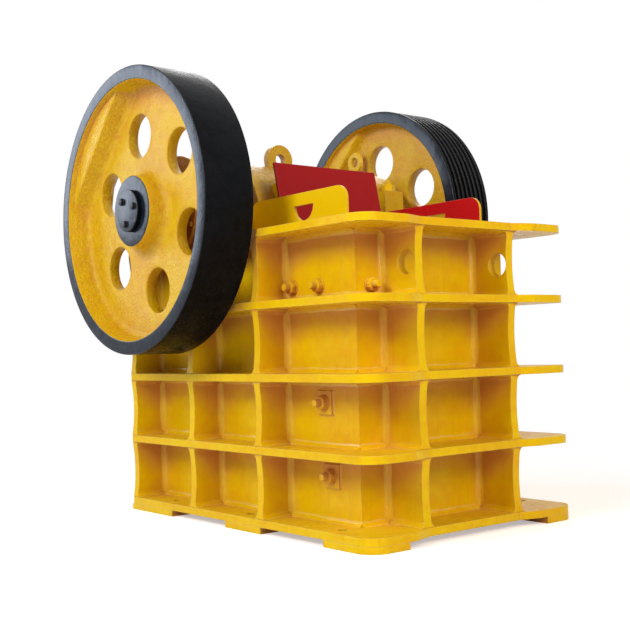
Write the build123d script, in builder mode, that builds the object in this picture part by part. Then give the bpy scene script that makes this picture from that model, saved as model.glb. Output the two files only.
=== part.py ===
# Jaw crusher: a ribbed steel frame on foot pads, a swing jaw hung on an eccentric shaft,
# and a flywheel and a grooved pulley outside the frame.
# X runs along the shaft, the feed end faces -Y and Z is up. Left is the flywheel side, -X.
# The origin is on the floor, in the middle of the foundation bolt pattern.
import os
from math import cos, radians, sin, sqrt, tan

from build123d import *

os.makedirs("parts", exist_ok=True)

# Frame box
chamber_width = 900.0
chamber_gape = 600.0
chamber_outlet = 100.0
cheek_thick = 25.0
side_plate_thick = 55.0
front_wall_thick = 90.0
rear_wall_thick = 70.0
frame_front = -1030.0
frame_rear = 1132.0
front_overhang = 260.0
rear_recess = 200.0
side_overhang = 205.0
corner_ear = 40.0
ear_taper = 120.0
corner_radius = 110.0
rear_corner_radius = 20.0

# Flange levels and foot pads
pad_height = 35.0
flange_thick = 40.0
bay_pitch = 375.0
bay_count = 4
pad_width = 240.0
front_pad_length = 350.0
middle_pad_front = -203.0
middle_pad_rear = 120.0
rear_pad_length = 460.0
bolt_inset_x = 90.0
bolt_span_y = 1520.0
bolt_hole_radius = 24.0

# Ribs
rib_thick = 48.0
rib_flare = 26.0
flare_bend = 0.3
rib_hollow = 14.0
rib_setback = 8.0
front_rib_inset = 203.0
side_rib_pitch = 648.0
side_rib_count = 3
lifting_hole_radius = 62.0
lifting_hole_setback = 85.0
lifting_hole_drop = 214.0

# Shaft and bearings
shaft_y = 539.0
shaft_z = 1741.0
wheel_seat_radius = 110.0
journal_radius = 120.0
eccentric_radius = 150.0
throw = 19.0
running_gap = 0.08
fit_gap = 0.05
seat_gap = 0.3
housing_radius = 330.0
housing_length = 265.0
lug_width = 150.0
lug_reach = 384.0
lug_rise = 175.0
bearing_cover_radius = 235.0
bearing_cover_thick = 22.0

# Flywheel and pulley
wheel_gap = 28.0
wheel_width = 297.0
flywheel_radius = 800.0
pulley_radius = 752.0
rim_thick = 76.0
rim_draft = 14.0
hub_radius = 198.0
hub_recess = 30.0
hub_back = 24.0
web_recess = 135.0
web_thick = 70.0
web_chamfer = 18.0
hole_share = 0.156
hole_circle_share = 0.565
web_hole_count = 6
flywheel_hole_start = 40.5
pulley_hole_start = 31.0
balance_share = 0.72
balance_angle = 136.0
balance_recess = 34.0
groove_count = 7
groove_pitch = 38.0
groove_depth = 26.0
groove_mouth = 27.0
groove_floor = 10.0
end_plate_radius = 118.0
end_plate_thick = 28.0
end_bolt_circle = 76.0
end_bolt_count = 3
end_bolt_flats = 36.0
end_bolt_height = 14.0
end_bolt_start = 134.0

# Swing jaw and jaw plates
jaw_foot_z = 330.0
jaw_head_drop = 15.0
jaw_plate_thick = 90.0
tooth_depth = 34.0
tooth_count = 12
fixed_jaw_ledge = 40.0
swing_side_gap = 15.0
pitman_wall = 110.0
pitman_rib_thick = 40.0
pitman_rib_count = 5
head_radius = 320.0
neck_angle = 30.0
head_inset = 45.0
throw_gap = 3.0
head_cover_thick = 24.0
lip_depth = 60.0
lip_cover = 65.0
clamp_depth = 58.0
clamp_cover = 78.0
plate_joint = 2.0

# Toggle plate, its seats, and the tension rod
toggle_radius = 35.0
toggle_thick = 56.0
toggle_inset = 105.0
toggle_along = 1150.0
toggle_behind = 275.0
toggle_rear_y = 480.0
toggle_rear_z = 565.0
seat_half_angle = 40.0
seat_height = 140.0
seat_block_depth = 60.0
beam_height = 260.0
rod_radius = 22.0
rod_clearance = 13.0
rod_z = 250.0
rod_window_half = 110.0
rod_window_height = 220.0
spring_radius = 48.0
spring_wire = 8.0
spring_turns = 4
spring_bends = 12
spring_length = 110.0
spring_room = 24.0
rod_nut_radius = 46.0
rod_nut_thick = 26.0
rod_lug_half = 34.0
rod_lug_reach = 78.0
spring_seat_half = 140.0
spring_seat_thick = 20.0

# Hopper cheeks, head guard and lifting eye
hopper_thick = 16.0
hopper_gap = 1.0
hopper_height = 195.0
hopper_front = -675.0
hopper_lug_gap = 10.0
hopper_corner = 70.0
hopper_foot_width = 52.0
hopper_foot_thick = 12.0
hopper_window_y = -328.0
hopper_window_half = 82.0
hopper_window_drop = 66.0
guard_inset = 60.0
guard_top_y = 77.0
guard_top_z = 2000.0
guard_foot_z = 1640.0
guard_lean = 12.6
guard_thick = 16.0
guard_gusset_thick = 20.0
guard_gusset_inset = 140.0
guard_gusset_rise = 50.0
eye_outer = 92.0
eye_hole = 36.0
eye_thick = 46.0
eye_rise = 52.0
eye_foot = 80.0

# Liner bolts
bolt_plate_side = 118.0
bolt_plate_thick = 16.0
liner_nut_radius = 36.0
liner_nut_thick = 30.0
upper_bolt_places = [(270.0, 1272.0), (490.0, 1270.0)]
lower_bolt_places = [(520.0, 675.0), (563.0, 309.0)]
front_bolt_inset = 45.0
front_bolt_z = 1260.0

# Worked out from the sizes above
side_plate_in = chamber_width / 2 + cheek_thick
side_plate_out = side_plate_in + side_plate_thick
flange_edge = side_plate_out + side_overhang
front_rib_x = side_plate_out - front_rib_inset
wall_front = frame_front + front_overhang
wall_inner = wall_front + front_wall_thick
rear_wall_out = frame_rear - rear_recess
rear_wall_in = rear_wall_out - rear_wall_thick
ear_front = frame_front - corner_ear
base_top = pad_height + flange_thick
level_tops = [base_top + bay_pitch * level for level in range(bay_count + 1)]
frame_top = level_tops[-1]
wall_height = frame_top - pad_height
wall_middle = (frame_top + pad_height) / 2
bays = [(top, top + bay_pitch - flange_thick) for top in level_tops[:-1]]
bolt_x = flange_edge - bolt_inset_x
bolt_y = bolt_span_y / 2
housing_out = side_plate_in + housing_length
lug_out = (side_plate_in + housing_out + lug_width) / 2
hopper_rear = shaft_y - lug_reach - hopper_lug_gap
wheel_in = flange_edge + wheel_gap
wheel_out = wheel_in + wheel_width
hub_face = wheel_out - hub_recess
hub_inner_face = wheel_in + hub_back
fixed_face = wall_inner + jaw_plate_thick
swing_half_width = chamber_width / 2 - swing_side_gap
head_half_length = swing_half_width - head_inset
toggle_half_width = swing_half_width - toggle_inset
guard_half_width = swing_half_width - guard_inset
guard_gusset_x = head_half_length - guard_gusset_inset
front_bolt_x = side_plate_in - front_bolt_inset

# The swing jaw's own directions: down along its face, and back from its face
jaw_top = (fixed_face + chamber_gape, frame_top - jaw_head_drop)
jaw_foot = (fixed_face + chamber_outlet, jaw_foot_z)
jaw_length = sqrt((jaw_top[0] - jaw_foot[0]) ** 2 + (jaw_top[1] - jaw_foot[1]) ** 2)
down = ((jaw_foot[0] - jaw_top[0]) / jaw_length, (jaw_foot[1] - jaw_top[1]) / jaw_length)
back = (-down[1], down[0])
jaw_origin = (0, jaw_top[0], jaw_top[1])
jaw_side = Plane(origin=jaw_origin, x_dir=(0, down[0], down[1]), z_dir=(1, 0, 0))
jaw_end = Plane(origin=jaw_origin, x_dir=(1, 0, 0), z_dir=(0, down[0], down[1]))


def on_jaw(along, behind):
    """The (Y, Z) point that lies so far down the swing jaw's face and behind it."""
    return (
        jaw_top[0] + along * down[0] + behind * back[0],
        jaw_top[1] + along * down[1] + behind * back[1],
    )


def along_behind(y, z):
    """The place of a (Y, Z) point down the swing jaw's face and behind it."""
    across, above = y - jaw_top[0], z - jaw_top[1]
    return (across * down[0] + above * down[1], across * back[0] + above * back[1])


shaft_axis = Axis((0, shaft_y, shaft_z), (1, 0, 0))
shaft_plane = Plane(origin=(0, shaft_y, shaft_z), x_dir=(1, 0, 0), z_dir=(0, -1, 0))
left_face = Plane(origin=(-side_plate_out, 0, 0), x_dir=(0, -1, 0), z_dir=(-1, 0, 0))
front_face = Plane(origin=(0, wall_front, 0), x_dir=(1, 0, 0), z_dir=(0, -1, 0))
rear_face = Plane(origin=(0, rear_wall_out, 0), x_dir=(-1, 0, 0), z_dir=(0, 1, 0))


def finish(piece, name):
    """Labels a piece and writes it to its own file."""
    piece.part.label = name
    export_step(piece.part, f"parts/{name}.step")


def finish_pair(left, name):
    """Writes a left piece and its mirror image on the right."""
    with BuildPart() as right:
        mirror(left.part, about=Plane.YZ)
    finish(left, f"{name}_left")
    finish(right, f"{name}_right")


# Side plates, each with a round saddle for the bearing housing
with BuildPart() as side_plate:
    with BuildSketch(Plane.YZ.offset(-side_plate_out)):
        with Locations(((wall_inner + frame_rear) / 2, wall_middle)):
            Rectangle(frame_rear - wall_inner, wall_height)
        with Locations((shaft_y, shaft_z)):
            Circle(housing_radius + seat_gap, mode=Mode.SUBTRACT)
    extrude(amount=side_plate_thick)
finish_pair(side_plate, "side_plate")

# Front wall across both side plates, with the ledge that carries the fixed jaw plate
ledge_reach = jaw_plate_thick - tooth_depth
with BuildPart() as front_wall:
    with BuildSketch(front_face):
        with Locations((0, wall_middle)):
            Rectangle(2 * side_plate_out, wall_height)
    extrude(amount=-front_wall_thick)
    with BuildSketch(Plane.YZ):
        with BuildLine():
            Polyline(
                (wall_inner, jaw_foot_z - fixed_jaw_ledge - ledge_reach),
                (wall_inner + ledge_reach, jaw_foot_z - fixed_jaw_ledge),
                (wall_inner + ledge_reach, jaw_foot_z),
                (wall_inner, jaw_foot_z),
                close=True,
            )
        make_face()
    extrude(amount=chamber_width / 2, both=True)
finish(front_wall, "front_wall")

# Rear wall between the side plates, with the window for the tension rod
with BuildPart() as rear_wall:
    with BuildSketch(rear_face):
        with Locations((0, wall_middle)):
            Rectangle(2 * side_plate_in, wall_height)
        with Locations((0, rod_z)):
            Rectangle(2 * rod_window_half, rod_window_height, mode=Mode.SUBTRACT)
    extrude(amount=-rear_wall_thick)
finish(rear_wall, "rear_wall")

# Side flanges at every level, from the corner ears to the rear end
with BuildPart() as side_flanges:
    for top in level_tops:
        with BuildSketch(Plane.XY.offset(top - flange_thick)) as plan:
            with Locations((-(side_plate_out + flange_edge) / 2, (wall_inner + frame_rear) / 2)):
                Rectangle(side_overhang, frame_rear - wall_inner)
            fillet(plan.vertices().group_by(Axis.X)[0].group_by(Axis.Y)[-1], rear_corner_radius)
        extrude(amount=flange_thick)
    with BuildSketch(Plane.YZ.offset(-flange_edge)):
        with Locations((shaft_y, shaft_z)):
            Circle(housing_radius + seat_gap)
    extrude(amount=side_overhang, mode=Mode.SUBTRACT)
    with Locations((-bolt_x, bolt_y, base_top), (-bolt_x, 0, base_top)):
        Hole(bolt_hole_radius, depth=flange_thick)
finish_pair(side_flanges, "side_flanges")

# Corner ears: the flanges round each front corner, proud of the front edge
with BuildPart() as corner_flanges:
    for top in level_tops:
        with BuildSketch(Plane.XY.offset(top - flange_thick)) as plan:
            with BuildLine():
                Polyline(
                    (-flange_edge, wall_inner),
                    (-flange_edge, ear_front),
                    (-front_rib_x - ear_taper, ear_front),
                    (-front_rib_x, frame_front),
                    (-front_rib_x, wall_front),
                    (-side_plate_out, wall_front),
                    (-side_plate_out, wall_inner),
                    close=True,
                )
            make_face()
            outer = plan.vertices().group_by(Axis.Y)[0].sort_by(Axis.X)
            fillet(outer[0], corner_radius)
            fillet(outer[1], corner_radius / 2)
        extrude(amount=flange_thick)
    with Locations((-bolt_x, -bolt_y, base_top)):
        Hole(bolt_hole_radius, depth=flange_thick)
finish_pair(corner_flanges, "corner_flanges")

# Front flanges between the two front ribs
with BuildPart() as front_flanges:
    for top in level_tops:
        with BuildSketch(Plane.XY.offset(top - flange_thick)):
            with Locations((0, (frame_front + wall_front) / 2)):
                Rectangle(2 * front_rib_x, front_overhang)
        extrude(amount=flange_thick)
finish(front_flanges, "front_flanges")

# Rear flanges between the ends of the side plates
with BuildPart() as rear_flanges:
    for top in level_tops:
        with BuildSketch(Plane.XY.offset(top - flange_thick)):
            with Locations((0, (rear_wall_out + frame_rear) / 2)):
                Rectangle(2 * side_plate_in, rear_recess)
        extrude(amount=flange_thick)
finish(rear_flanges, "rear_flanges")


def rib_column(face, across, reach):
    """The lengths of one rib between the flanges: flared into them and hollow along the edge."""
    bow = (bay_pitch - flange_thick) / 2
    bow_radius = (bow**2 + rib_hollow**2) / (2 * rib_hollow)
    flare_half = rib_thick / 2 + rib_flare
    bend_half = rib_thick / 2 + rib_flare * flare_bend
    edge_origin = face.from_local_coords((across, 0, 0))
    edge_plane = Plane(origin=edge_origin, x_dir=face.z_dir, z_dir=-face.x_dir)
    for floor, ceiling in bays:
        middle = (floor + ceiling) / 2
        side = [
            (flare_half, floor),
            (bend_half, floor + rib_flare * flare_bend),
            (rib_thick / 2, floor + rib_flare),
            (rib_thick / 2, ceiling - rib_flare),
            (bend_half, ceiling - rib_flare * flare_bend),
            (flare_half, ceiling),
        ]
        right = [(across + out, height) for out, height in side]
        left = [(across - out, height) for out, height in reversed(side)]
        with BuildSketch(face) as outline:
            with BuildLine():
                Polyline(*right, *left, close=True)
            make_face()
        extrude(outline.sketch, amount=reach)
        with BuildSketch(edge_plane) as hollow:
            with Locations((reach - rib_hollow + bow_radius, middle)):
                Circle(bow_radius)
        extrude(hollow.sketch, amount=rib_thick / 2 + rib_flare, both=True, mode=Mode.SUBTRACT)


# Ribs on the side plates, the rear ones flush with the end of the frame
with BuildPart() as side_ribs:
    for number in range(side_rib_count):
        rib_y = frame_rear - rib_thick / 2 - number * side_rib_pitch
        rib_column(left_face, -rib_y, side_overhang - rib_setback)
    with BuildSketch(Plane.YZ.offset(-flange_edge)):
        with Locations((shaft_y, shaft_z)):
            Circle(housing_radius + seat_gap)
        with Locations((frame_rear, wall_middle)):
            Rectangle(rib_flare + rib_thick, wall_height, align=(Align.MIN, Align.CENTER))
    extrude(amount=side_overhang, mode=Mode.SUBTRACT)
finish_pair(side_ribs, "side_ribs")

# Ribs on the front wall, each with a lifting hole in its top length
lifting_hole_y = frame_front + lifting_hole_setback
lifting_hole_z = frame_top - lifting_hole_drop
with BuildPart() as front_ribs:
    for rib_x in (-front_rib_x, front_rib_x):
        rib_column(front_face, rib_x, front_overhang - rib_setback)
    with BuildSketch(Plane.YZ):
        with Locations((lifting_hole_y, lifting_hole_z)):
            Circle(lifting_hole_radius)
    extrude(amount=flange_edge, both=True, mode=Mode.SUBTRACT)
finish(front_ribs, "front_ribs")

# Ribs on the rear wall
with BuildPart() as rear_ribs:
    for rib_x in (-front_rib_x, front_rib_x):
        rib_column(rear_face, rib_x, rear_recess - rib_setback)
finish(rear_ribs, "rear_ribs")

# Foot pads under the base flanges
with BuildPart() as foot_pad_row:
    pad_x = -flange_edge + pad_width / 2
    pad_rows = (
        ((middle_pad_front + middle_pad_rear) / 2, middle_pad_rear - middle_pad_front),
        (frame_rear - rear_pad_length / 2, rear_pad_length),
    )
    for pad_y, pad_length in pad_rows:
        with BuildSketch():
            with Locations((pad_x, pad_y)):
                Rectangle(pad_width, pad_length)
        extrude(amount=pad_height)
    with BuildSketch() as front_pad:
        with Locations((pad_x, ear_front + front_pad_length / 2)):
            Rectangle(pad_width, front_pad_length)
        fillet(front_pad.vertices().group_by(Axis.Y)[0].sort_by(Axis.X)[0], corner_radius)
    extrude(amount=pad_height)
    bolt_rows = [(-bolt_x, y, pad_height) for y in (-bolt_y, 0, bolt_y)]
    with Locations(*bolt_rows):
        Hole(bolt_hole_radius, depth=pad_height)
with BuildPart() as foot_pads:
    add(foot_pad_row.part)
    mirror(foot_pad_row.part, about=Plane.YZ)
finish(foot_pads, "foot_pads")


def housing_half(side):
    """The section of one half of a bearing housing, split at the shaft's height."""
    with BuildSketch(Plane.YZ.offset(-housing_out)) as section:
        with Locations((shaft_y, shaft_z)):
            Circle(housing_radius)
            Circle(journal_radius + running_gap, mode=Mode.SUBTRACT)
            half = (Align.CENTER, side)
            Rectangle(2 * housing_radius, housing_radius, align=half, mode=Mode.INTERSECT)
    return section.sketch


def housing_lugs(side, height):
    """The section of the bolt lugs on both sides of a housing's half."""
    with BuildSketch(Plane.YZ.offset(-lug_out)) as section:
        with Locations((shaft_y, shaft_z)):
            Rectangle(2 * lug_reach, height, align=(Align.CENTER, side))
            Circle(journal_radius + running_gap, mode=Mode.SUBTRACT)
    return section.sketch


# Bearing housings: a saddle in the frame, a cap, and a cover on each outer end.
# The saddle's lugs stand on the top flange, and the cap is bolted down to them.
with BuildPart() as bearing_saddle:
    extrude(housing_half(Align.MAX), amount=housing_length)
    extrude(housing_lugs(Align.MAX, shaft_z - frame_top), amount=lug_width)
finish_pair(bearing_saddle, "bearing_saddle")
with BuildPart() as bearing_cap:
    extrude(housing_half(Align.MIN), amount=housing_length)
    extrude(housing_lugs(Align.MIN, lug_rise), amount=lug_width)
finish_pair(bearing_cap, "bearing_cap")
with BuildPart() as bearing_covers:
    with BuildSketch(Plane.YZ.offset(-housing_out)) as cover_section:
        with Locations((shaft_y, shaft_z)):
            Circle(bearing_cover_radius)
            Circle(journal_radius + running_gap, mode=Mode.SUBTRACT)
    extrude(amount=-bearing_cover_thick)
    mirror(bearing_covers.part, about=Plane.YZ)
finish(bearing_covers, "bearing_covers")

# Eccentric shaft, its middle thrown away from the balance weights of the wheels
shoulder = (housing_out + bearing_cover_thick + hub_inner_face) / 2
eccentric_half = head_half_length - head_cover_thick
eccentric_y = shaft_y + throw * cos(radians(balance_angle))
eccentric_z = shaft_z - throw * sin(radians(balance_angle))
with BuildPart() as eccentric_shaft:
    with BuildSketch(shaft_plane):
        with BuildLine():
            Polyline(
                (-hub_face, 0),
                (-hub_face, wheel_seat_radius),
                (-shoulder, wheel_seat_radius),
                (-shoulder, journal_radius),
                (shoulder, journal_radius),
                (shoulder, wheel_seat_radius),
                (hub_face, wheel_seat_radius),
                (hub_face, 0),
                close=True,
            )
        make_face()
    revolve(axis=shaft_axis)
    with BuildSketch(Plane.YZ):
        with Locations((eccentric_y, eccentric_z)):
            Circle(eccentric_radius)
    extrude(amount=eccentric_half, both=True)
finish(eccentric_shaft, "eccentric_shaft")

web_front = -wheel_out + web_recess
web_back = web_front + web_thick


def wheel_section(radius, tread):
    """Half of a left wheel's cast section: rim, web set back from its face, and hub."""
    bore = wheel_seat_radius + fit_gap
    rim_in = radius - rim_thick
    with BuildSketch(shaft_plane) as section:
        with BuildLine():
            Polyline(
                (-hub_face, bore),
                (-hub_face, hub_radius),
                (web_front, hub_radius + rim_draft),
                (web_front, rim_in - rim_draft),
                (-wheel_out, rim_in),
                (-wheel_out, radius),
                *tread,
                (-wheel_in, radius),
                (-wheel_in, rim_in),
                (web_back, rim_in - rim_draft),
                (web_back, hub_radius + rim_draft),
                (-hub_inner_face, hub_radius),
                (-hub_inner_face, bore),
                close=True,
            )
        make_face()
        corners = section.vertices().filter_by_position(Axis.X, web_front, web_back)
        chamfer(corners.filter_by_position(Axis.Y, hub_radius, rim_in), web_chamfer)
    return section.sketch


def web_holes(radius, start):
    """Round holes of a web, the first at an angle seen from outside the left wheel."""
    with BuildSketch(Plane.YZ.offset(-wheel_out)) as holes:
        with Locations((shaft_y, shaft_z)):
            with PolarLocations(radius * hole_circle_share, web_hole_count, start_angle=180 - start):
                Circle(radius * hole_share)
    return holes.sketch


def balance_segment(radius, face):
    """The cast segment that closes a rim beyond a chord, drawn on a plane across X."""
    with BuildSketch(Plane.YZ.offset(face)) as segment:
        with Locations((shaft_y, shaft_z)):
            Circle(radius - rim_thick + rim_draft)
        with Locations(Location((shaft_y, shaft_z, 0), 180 - balance_angle)):
            with Locations((radius * balance_share, 0)):
                Rectangle(radius, 2 * radius, align=(Align.MIN, Align.CENTER), mode=Mode.INTERSECT)
    return segment.sketch


def cast_wheel(radius, tread, hole_start):
    """A left wheel with a holed web and a balance segment on both sides of it."""
    outer_face = -wheel_out + balance_recess
    inner_face = -wheel_in - balance_recess
    with BuildPart() as wheel:
        revolve(wheel_section(radius, tread), axis=shaft_axis)
        extrude(web_holes(radius, hole_start), amount=wheel_width, mode=Mode.SUBTRACT)
        extrude(balance_segment(radius, outer_face), amount=web_front - outer_face)
        extrude(balance_segment(radius, web_back), amount=inner_face - web_back)
    return wheel.part


# Flywheel on the left end of the shaft
with BuildPart() as flywheel:
    add(cast_wheel(flywheel_radius, [], flywheel_hole_start))
finish(flywheel, "flywheel")

# Grooves for the vee belts, across the pulley's tread
grooves = []
first_groove = -(wheel_in + wheel_out) / 2 - groove_pitch * (groove_count - 1) / 2
for number in range(groove_count):
    centre = first_groove + groove_pitch * number
    grooves += [
        (centre - groove_mouth / 2, pulley_radius),
        (centre - groove_floor / 2, pulley_radius - groove_depth),
        (centre + groove_floor / 2, pulley_radius - groove_depth),
        (centre + groove_mouth / 2, pulley_radius),
    ]

# Grooved pulley on the right end
with BuildPart() as pulley:
    mirror(cast_wheel(pulley_radius, grooves, pulley_hole_start), about=Plane.YZ)
finish(pulley, "pulley")

# End plates that hold the wheels on the shaft
with BuildPart() as end_plates:
    with BuildSketch(Plane.YZ.offset(-hub_face)):
        with Locations((shaft_y, shaft_z)):
            Circle(end_plate_radius)
    extrude(amount=-end_plate_thick)
    with BuildSketch(Plane.YZ.offset(-hub_face - end_plate_thick)):
        with Locations((shaft_y, shaft_z)):
            with PolarLocations(end_bolt_circle, end_bolt_count, start_angle=180 - end_bolt_start):
                RegularPolygon(end_bolt_flats / sqrt(3), 6)
    extrude(amount=-end_bolt_height)
    mirror(end_plates.part, about=Plane.YZ)
finish(end_plates, "end_plates")

# Swing jaw casting: the plate behind the jaw, the head barrel, back ribs and the toggle seat
body_front = jaw_plate_thick
body_back = jaw_plate_thick + pitman_wall
body_foot = jaw_length + plate_joint + lip_depth
lip_top = jaw_length + plate_joint
seat_face = toggle_behind - toggle_radius * cos(radians(seat_half_angle))
seat_top = toggle_along - seat_height / 2
neck_reach = head_radius * cos(radians(neck_angle))
neck_rise = head_radius * sin(radians(neck_angle))
neck_front_place = (shaft_y - neck_reach, shaft_z + neck_rise)
neck_front = along_behind(*neck_front_place)
neck_back = along_behind(shaft_y + neck_rise, shaft_z - neck_reach)
head_place = along_behind(shaft_y, shaft_z)
lug_foot = on_jaw(body_foot, body_back)
lug_head = on_jaw(body_foot - 2 * lip_depth, body_back)
lug_face = lug_foot[0] + rod_lug_reach
with BuildPart() as swing_jaw:
    with BuildSketch(jaw_side):
        with BuildLine():
            Polyline(
                (0, body_front),
                (0, body_back),
                (body_foot, body_back),
                (body_foot, body_front - lip_cover),
                (lip_top, body_front - lip_cover),
                (lip_top, body_front),
                close=True,
            )
        make_face()
        with Locations((toggle_along, (body_back + seat_face) / 2)):
            Rectangle(seat_height, seat_face - body_back)
        with Locations((toggle_along, toggle_behind)):
            Circle(toggle_radius + seat_gap, mode=Mode.SUBTRACT)
    extrude(amount=swing_half_width, both=True)
    with BuildSketch(jaw_side):
        with BuildLine():
            Polyline(
                (0, body_front),
                neck_front,
                head_place,
                neck_back,
                (jaw_length / 4, body_back),
                (jaw_length / 4, body_front),
                close=True,
            )
        make_face()
    extrude(amount=head_half_length, both=True)
    rib_step = (2 * head_half_length - pitman_rib_thick) / (pitman_rib_count - 1)
    for number in range(pitman_rib_count):
        with BuildSketch(jaw_side.offset(-head_half_length + number * rib_step)):
            with BuildLine():
                Polyline(
                    (jaw_length / 8, body_back),
                    neck_back,
                    (seat_top, seat_face),
                    (seat_top, body_back),
                    close=True,
                )
            make_face()
        extrude(amount=pitman_rib_thick)
    with BuildSketch(Plane.YZ):
        with BuildLine():
            Polyline(
                lug_head,
                lug_foot,
                (lug_face, rod_z - rod_lug_half),
                (lug_face, rod_z + rod_lug_half),
                close=True,
            )
        make_face()
    extrude(amount=rod_lug_half, both=True)
    with BuildSketch(Plane.YZ):
        with Locations((shaft_y, shaft_z)):
            Circle(head_radius)
    extrude(amount=head_half_length, both=True)
    with BuildSketch(Plane.YZ):
        with Locations((shaft_y, shaft_z)):
            Circle(eccentric_radius + throw + throw_gap)
    extrude(amount=swing_half_width, both=True, mode=Mode.SUBTRACT)
finish(swing_jaw, "swing_jaw")

# Rings in the ends of the head, which turn on the shaft
with BuildPart() as head_rings:
    with BuildSketch(Plane.YZ.offset(-head_half_length)):
        with Locations((shaft_y, shaft_z)):
            Circle(eccentric_radius + throw + throw_gap)
            Circle(journal_radius + running_gap, mode=Mode.SUBTRACT)
    extrude(amount=head_cover_thick - running_gap)
    mirror(head_rings.part, about=Plane.YZ)
finish(head_rings, "head_rings")


def toothed_section(plane, width, phase):
    """A jaw plate's section: a flat back, and pointed ribs that face the rock."""
    pitch = width / tooth_count
    points = [(-width / 2, -jaw_plate_thick)]
    points.append((-width / 2, -tooth_depth * phase))
    for number in range(tooth_count):
        left = -width / 2 + number * pitch
        points.append((left + pitch / 2, -tooth_depth * (1 - phase)))
        points.append((left + pitch, -tooth_depth * phase))
    points.append((width / 2, -jaw_plate_thick))
    with BuildSketch(plane) as section:
        with BuildLine():
            Polyline(*points, close=True)
        make_face()
    return section.sketch


# Moving jaw plate, and the clamp bar above it
with BuildPart() as moving_jaw_plate:
    extrude(toothed_section(jaw_end, 2 * swing_half_width, 1), amount=jaw_length)
finish(moving_jaw_plate, "moving_jaw_plate")
neck_slope = (neck_front[1] - body_front) / neck_front[0]
clamp_head = -plate_joint - clamp_depth
with BuildPart() as jaw_clamp:
    with BuildSketch(jaw_side):
        with BuildLine():
            Polyline(
                (-plate_joint, body_front - clamp_cover),
                (-plate_joint, body_front - plate_joint * neck_slope),
                (clamp_head, body_front + clamp_head * neck_slope),
                (clamp_head, body_front - clamp_cover),
                close=True,
            )
        make_face()
    extrude(amount=swing_half_width - pitman_rib_thick, both=True)
finish(jaw_clamp, "jaw_clamp")

# Fixed jaw plate on the front wall, its ribs facing the moving plate's hollows
with BuildPart() as fixed_jaw_plate:
    fixed_foot = Plane(origin=(0, fixed_face, jaw_foot_z))
    extrude(toothed_section(fixed_foot, chamber_width, 0), amount=jaw_top[1] - jaw_foot_z)
finish(fixed_jaw_plate, "fixed_jaw_plate")

# Cheek plates, upper and lower, on the side plates inside the chamber
jaw_height = jaw_top[1] - jaw_foot_z
cheek_split = jaw_foot_z + jaw_height / 2
cheek_rows = ((jaw_foot_z, cheek_split - plate_joint), (cheek_split + plate_joint, jaw_top[1]))
jaw_slope = (jaw_top[0] - jaw_foot[0]) / jaw_height
with BuildPart() as cheek_plates:
    for foot, head in cheek_rows:
        with BuildSketch(Plane.YZ.offset(-side_plate_in)):
            with BuildLine():
                Polyline(
                    (wall_inner, foot),
                    (jaw_foot[0] + (foot - jaw_foot_z) * jaw_slope + jaw_plate_thick, foot),
                    (jaw_foot[0] + (head - jaw_foot_z) * jaw_slope + jaw_plate_thick, head),
                    (wall_inner, head),
                    close=True,
                )
            make_face()
        extrude(amount=cheek_thick)
finish_pair(cheek_plates, "cheek_plates")

# Toggle plate between its two seats
toggle_front = on_jaw(toggle_along, toggle_behind)
toggle_rear = (toggle_rear_y, toggle_rear_z)
with BuildPart() as toggle_plate:
    with BuildSketch(Plane.YZ):
        with BuildLine():
            Line(toggle_front, toggle_rear)
        trace(line_width=toggle_thick)
        with Locations(toggle_front, toggle_rear):
            Circle(toggle_radius)
    extrude(amount=toggle_half_width, both=True)
finish(toggle_plate, "toggle_plate")

# Rear toggle seat on its beam across the frame
seat_back = toggle_rear_y + toggle_radius * cos(radians(seat_half_angle)) + seat_block_depth
with BuildPart() as toggle_seat:
    with BuildSketch(Plane.YZ):
        with Locations((seat_back, toggle_rear_z)):
            Rectangle(seat_block_depth, seat_height, align=(Align.MAX, Align.CENTER))
        with Locations((toggle_rear_y, toggle_rear_z)):
            Circle(toggle_radius + seat_gap, mode=Mode.SUBTRACT)
    extrude(amount=swing_half_width, both=True)
finish(toggle_seat, "toggle_seat")
with BuildPart() as toggle_beam:
    with BuildSketch(Plane.YZ):
        with Locations(((seat_back + rear_wall_in) / 2, toggle_rear_z)):
            Rectangle(rear_wall_in - seat_back, beam_height)
    extrude(amount=side_plate_in, both=True)
finish(toggle_beam, "toggle_beam")

# Tension rod, hung on the swing jaw, with a nut behind the rear wall
spring_face = rear_wall_out + spring_seat_thick
nut_face = spring_face + spring_length + spring_room
with BuildPart() as tension_rod:
    with BuildSketch(Plane.XZ.offset(-lug_face)):
        with Locations((0, rod_z)):
            Circle(rod_radius)
    extrude(amount=lug_face - nut_face - rod_nut_thick)
    with BuildSketch(Plane.XZ.offset(-nut_face)):
        with Locations((0, rod_z)):
            RegularPolygon(rod_nut_radius, 6)
    extrude(amount=-rod_nut_thick)
finish(tension_rod, "tension_rod")

# Spring seat over the rod's window, and the spring
with BuildPart() as spring_seat:
    with BuildSketch(rear_face):
        with Locations((0, rod_z)):
            Rectangle(2 * spring_seat_half, 2 * spring_seat_half)
            Circle(rod_radius + rod_clearance, mode=Mode.SUBTRACT)
    extrude(amount=spring_seat_thick)
finish(spring_seat, "spring_seat")
coil_start = spring_face + spring_wire * cos(radians(30)) + seat_gap
coil_length = spring_length - 2 * spring_wire - seat_gap
coil_bends = spring_turns * spring_bends
coil_places = [
    (
        spring_radius * cos(radians(360 * bend / spring_bends)),
        coil_start + coil_length * bend / coil_bends,
        rod_z + spring_radius * sin(radians(360 * bend / spring_bends)),
    )
    for bend in range(coil_bends + 1)
]
with BuildPart() as spring:
    with BuildLine() as coil:
        Polyline(*coil_places)
    with BuildSketch(Plane(origin=coil.line @ 0, z_dir=coil.line % 0)):
        RegularPolygon(spring_wire, 6)
    sweep(transition=Transition.RIGHT)
finish(spring, "spring")

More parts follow.
